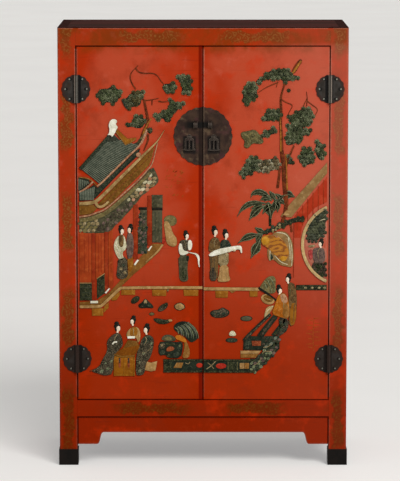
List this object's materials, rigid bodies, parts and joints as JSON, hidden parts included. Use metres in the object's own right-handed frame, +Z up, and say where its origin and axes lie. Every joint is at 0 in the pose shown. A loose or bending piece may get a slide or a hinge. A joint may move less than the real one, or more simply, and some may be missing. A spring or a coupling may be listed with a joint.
{
  "type": "cabinet",
  "caption": "Tall square-corner cabinet with flush doors on round lobed hinges, a round lock plate with hanging pulls, shelves and shaped aprons.",
  "frame": {"origin": "on the floor, under the middle of the object's box, hardware and foot shoes included", "axes": "+Z up, the doors face -Y, +X to the right of someone who faces the doors"},
  "size_m": [1.0054, 0.502, 1.527],
  "materials": {
    "red_lacquer": "satin lacquer, worn along the edges",
    "dark_lacquer": "dark oxblood lacquer, satin",
    "oiled_wood": "bare wood, oiled",
    "dark_brass": "darkened by age, rubbed bright on the edges"
  },
  "bodies": {
    "case": {"back_bottom_rail": "red_lacquer", "back_left_foot_shoe": "dark_brass", "back_left_post": "red_lacquer", "back_panel": "dark_lacquer", "back_right_foot_shoe": "dark_brass", "back_right_post": "red_lacquer", "back_top_rail": "red_lacquer", "floor_panel": "dark_lacquer", "front_apron": "red_lacquer", "front_bottom_rail": "red_lacquer", "front_left_foot_shoe": "dark_brass", "front_left_post": "red_lacquer", "front_right_foot_shoe": "dark_brass", "front_right_post": "red_lacquer", "front_top_rail": "red_lacquer", "left_apron": "red_lacquer", "left_bottom_rail": "red_lacquer", "left_lower_hinge_pin": "dark_brass", "left_lower_hinge_post_leaf": "dark_brass", "left_side_panel": "red_lacquer", "left_top_rail": "red_lacquer", "left_upper_hinge_pin": "dark_brass", "left_upper_hinge_post_leaf": "dark_brass", "lower_left_bearer": "oiled_wood", "lower_right_bearer": "oiled_wood", "lower_shelf": "oiled_wood", "right_apron": "red_lacquer", "right_bottom_rail": "red_lacquer", "right_lower_hinge_pin": "dark_brass", "right_lower_hinge_post_leaf": "dark_brass", "right_side_panel": "red_lacquer", "right_top_rail": "red_lacquer", "right_upper_hinge_pin": "dark_brass", "right_upper_hinge_post_leaf": "dark_brass", "top_panel": "dark_lacquer", "upper_left_bearer": "oiled_wood", "upper_right_bearer": "oiled_wood", "upper_shelf": "oiled_wood"},
    "left_door": {"left_door_board": "red_lacquer", "left_door_lower_batten": "oiled_wood", "left_door_upper_batten": "oiled_wood", "left_lock_loop": "dark_brass", "left_lock_plate": "dark_brass", "left_lower_hinge_door_leaf": "dark_brass", "left_pull_eye": "dark_brass", "left_upper_hinge_door_leaf": "dark_brass"},
    "right_door": {"right_door_board": "red_lacquer", "right_door_lower_batten": "oiled_wood", "right_door_upper_batten": "oiled_wood", "right_lock_loop": "dark_brass", "right_lock_plate": "dark_brass", "right_lower_hinge_door_leaf": "dark_brass", "right_pull_eye": "dark_brass", "right_upper_hinge_door_leaf": "dark_brass"},
    "left_pull": {"left_pull": "dark_brass"},
    "right_pull": {"right_pull": "dark_brass"}
  },
  "joints": [
    {"name": "left_door_hinge", "type": "hinge", "parent": "case", "child": "left_door", "pos_m": [-0.437, -0.23925, 0.846], "axis": [0, 0, -1], "range_deg": [0, 165]},
    {"name": "right_door_hinge", "type": "hinge", "parent": "case", "child": "right_door", "pos_m": [0.437, -0.23925, 0.846], "axis": [0, 0, 1], "range_deg": [0, 165]},
    {"name": "left_pull_swing", "type": "hinge", "parent": "left_door", "child": "left_pull", "pos_m": [-0.047, -0.2375, 1.151], "axis": [-1, 0, 0], "range_deg": [0, 85]},
    {"name": "right_pull_swing", "type": "hinge", "parent": "right_door", "child": "right_pull", "pos_m": [0.037, -0.241, 1.151], "axis": [-1, 0, 0], "range_deg": [0, 85]}
  ]
}
